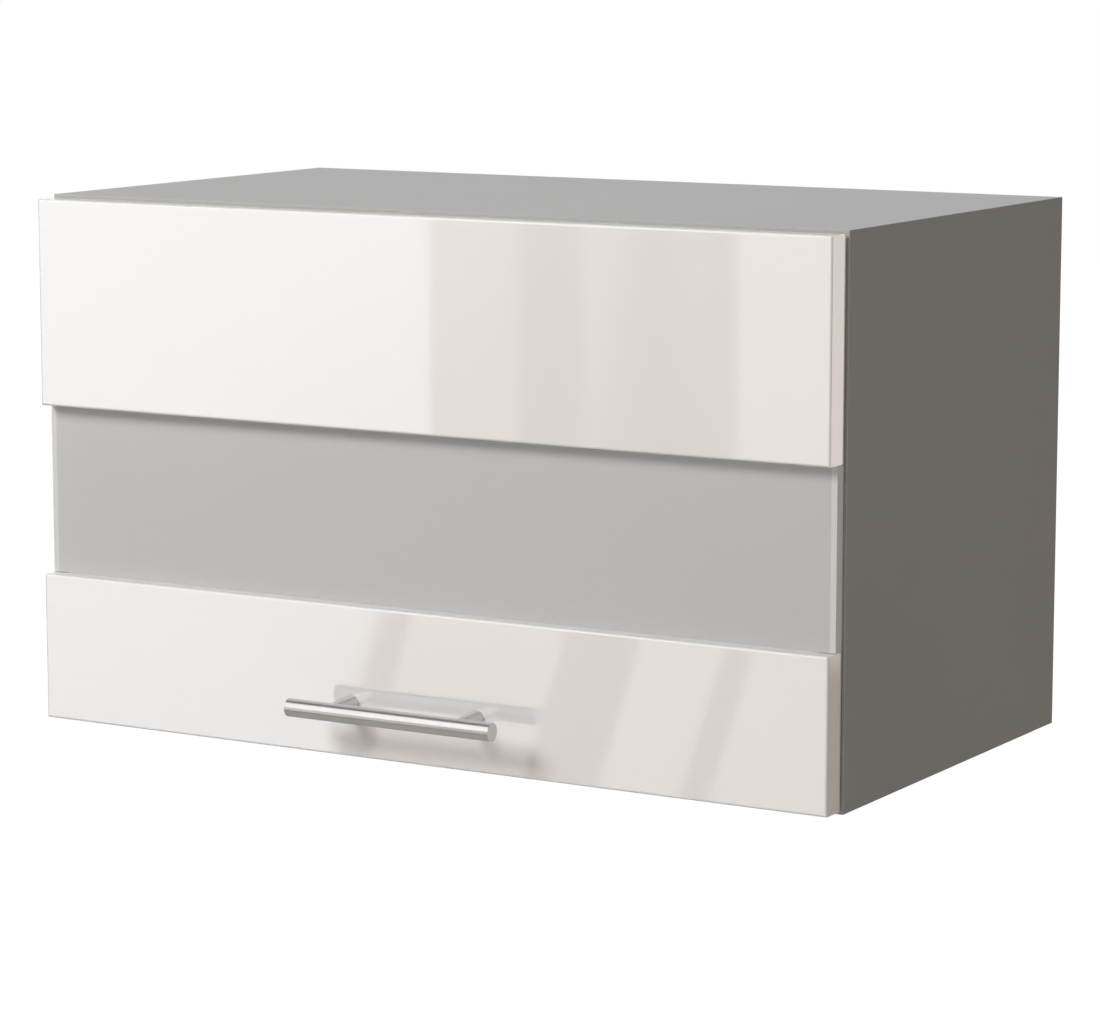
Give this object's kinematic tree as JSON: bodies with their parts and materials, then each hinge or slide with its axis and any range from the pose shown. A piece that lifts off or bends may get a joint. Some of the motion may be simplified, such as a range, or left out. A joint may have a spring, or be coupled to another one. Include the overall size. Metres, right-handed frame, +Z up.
{
  "type": "lift up wall cabinet",
  "caption": "Wall cabinet with one lift-up flap of gloss boards and a satin glass band, a bar handle, hinges along its top, lift stays inside and adjustable hangers behind.",
  "frame": {"origin": "on the wall, in the middle of the four screw holes of the two hanging plates, which is also the middle of the cabinet's width", "axes": "+X to the right along the cabinet's width as seen from the room, +Y from the room into the wall, +Z up"},
  "size_m": [0.6, 0.3775, 0.36],
  "materials": {
    "melamine": "grey-brown melamine, fine matt grain",
    "back_board": "grey-brown hardboard, matt",
    "edge_band": "grey-brown edge band, satin",
    "cam_zinc": "die-cast zinc, dull",
    "zinc_steel": "bright zinc plate",
    "beech": "bare beech, fluted",
    "white_plastic": "moulded white plastic, matt",
    "nickel_steel": "nickel-plated steel, satin",
    "spring_steel": "oiled spring steel",
    "dark_plastic": "dark grey moulded plastic",
    "grey_plastic": "light grey moulded plastic",
    "gloss_white": "high gloss white lacquer on fibreboard",
    "satin_glass": "satin etched glass",
    "brushed_handle": "brushed steel, satin",
    "clear_rubber": "soft translucent pad"
  },
  "bodies": {
    "carcass": {"side_panel_left": "melamine", "side_panel_right": "melamine", "top_panel": "melamine", "bottom_panel": "melamine", "back_panel": "back_board", "edge_band_left": "edge_band", "edge_band_right": "edge_band", "edge_band_top": "edge_band", "edge_band_bottom": "edge_band", "cam_locks": "cam_zinc", "cam_bolts": "zinc_steel", "wood_dowels": "beech", "cam_caps": "edge_band", "hanger_housing_left": "white_plastic", "hanger_housing_right": "white_plastic", "hanging_hook_left": "zinc_steel", "hanging_hook_right": "zinc_steel", "hanger_screws": "zinc_steel", "wall_plate_left": "zinc_steel", "wall_plate_right": "zinc_steel", "hinge_plate_left": "nickel_steel", "hinge_plate_right": "nickel_steel", "hinge_plate_screws": "nickel_steel", "hinge_arm_left": "nickel_steel", "hinge_arm_right": "nickel_steel", "hinge_arm_screws": "nickel_steel", "lift_housing_left": "dark_plastic", "lift_housing_right": "dark_plastic", "lift_cover_left": "grey_plastic", "lift_cover_right": "grey_plastic", "lift_housing_screws": "nickel_steel", "lift_springs": "spring_steel"},
    "flap": {"hinge_cup_left": "nickel_steel", "hinge_cup_right": "nickel_steel", "hinge_cup_screws": "nickel_steel", "hinge_pins": "nickel_steel", "flap_bracket_left": "nickel_steel", "flap_bracket_right": "nickel_steel", "flap_bracket_screws": "nickel_steel", "flap_bracket_pins": "nickel_steel", "front_board_upper": "gloss_white", "front_board_lower": "gloss_white", "glass_pane": "satin_glass", "pane_screws": "nickel_steel", "pane_washers": "white_plastic", "handle_bar": "brushed_handle", "handle_post_left": "brushed_handle", "handle_post_right": "brushed_handle", "handle_screws": "nickel_steel", "stop_pads": "clear_rubber"},
    "stay_arm_left": {"lift_shaft_left": "nickel_steel", "lift_arm_left": "nickel_steel", "knee_pin_left": "nickel_steel"},
    "stay_arm_right": {"lift_shaft_right": "nickel_steel", "lift_arm_right": "nickel_steel", "knee_pin_right": "nickel_steel"},
    "stay_link_left": {"lift_link_left": "nickel_steel"},
    "stay_link_right": {"lift_link_right": "nickel_steel"}
  },
  "joints": [
    {"name": "flap_hinge", "type": "hinge", "parent": "carcass", "child": "flap", "pos_m": [0, -0.333, 0.0514], "axis": [-1, 0, 0], "range_deg": [0, 95]},
    {"name": "stay_arm_left_turn", "type": "hinge", "parent": "carcass", "child": "stay_arm_left", "pos_m": [-0.264, -0.25, 0], "axis": [-1, 0, 0], "range_deg": [0, 95]},
    {"name": "stay_link_left_turn", "type": "hinge", "parent": "stay_arm_left", "child": "stay_link_left", "pos_m": [-0.2607, -0.2185, -0.072], "axis": [-1, 0, 0], "range_deg": [-95, 0]},
    {"name": "stay_arm_right_turn", "type": "hinge", "parent": "carcass", "child": "stay_arm_right", "pos_m": [0.264, -0.25, 0], "axis": [-1, 0, 0], "range_deg": [0, 95]},
    {"name": "stay_link_right_turn", "type": "hinge", "parent": "stay_arm_right", "child": "stay_link_right", "pos_m": [0.2607, -0.2185, -0.072], "axis": [-1, 0, 0], "range_deg": [-95, 0]}
  ],
  "couplings": [
    {"joint": "stay_arm_left_turn", "follows": "flap_hinge", "ratio": 1},
    {"joint": "stay_link_left_turn", "follows": "flap_hinge", "ratio": -1},
    {"joint": "stay_arm_right_turn", "follows": "flap_hinge", "ratio": 1},
    {"joint": "stay_link_right_turn", "follows": "flap_hinge", "ratio": -1}
  ]
}
